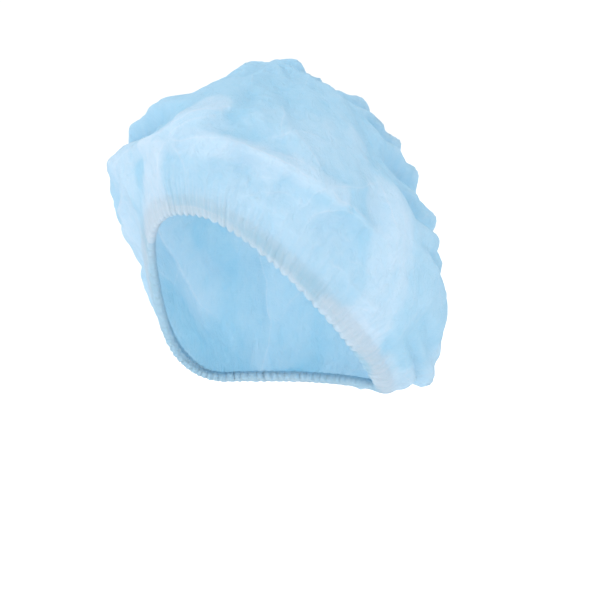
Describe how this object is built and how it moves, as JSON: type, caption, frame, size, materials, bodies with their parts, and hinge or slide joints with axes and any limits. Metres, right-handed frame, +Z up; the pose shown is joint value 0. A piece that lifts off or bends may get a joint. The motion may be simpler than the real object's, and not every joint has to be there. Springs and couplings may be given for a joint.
{
  "type": "disposable bouffant cap",
  "caption": "Disposable hair cap of thin non-woven cloth: a soft hollow crown gathered at its edge on an elastic loop, shown in its worn shape.",
  "frame": {"origin": "the middle of the gathered opening, where the cap sits when it is worn", "axes": "+Z up, front of the cap towards -Y, the wearer's left towards +X"},
  "size_m": [0.2176, 0.2346, 0.224],
  "materials": {
    "crown_cloth": "pale blue non-woven, matt, slightly see-through",
    "hem_cloth": "pale blue non-woven, gathered, matt",
    "elastic": "white braided elastic, matt"
  },
  "bodies": {
    "root": {"crown": "crown_cloth", "gathered_hem": "hem_cloth", "elastic_band": "elastic"}
  },
  "joints": []
}
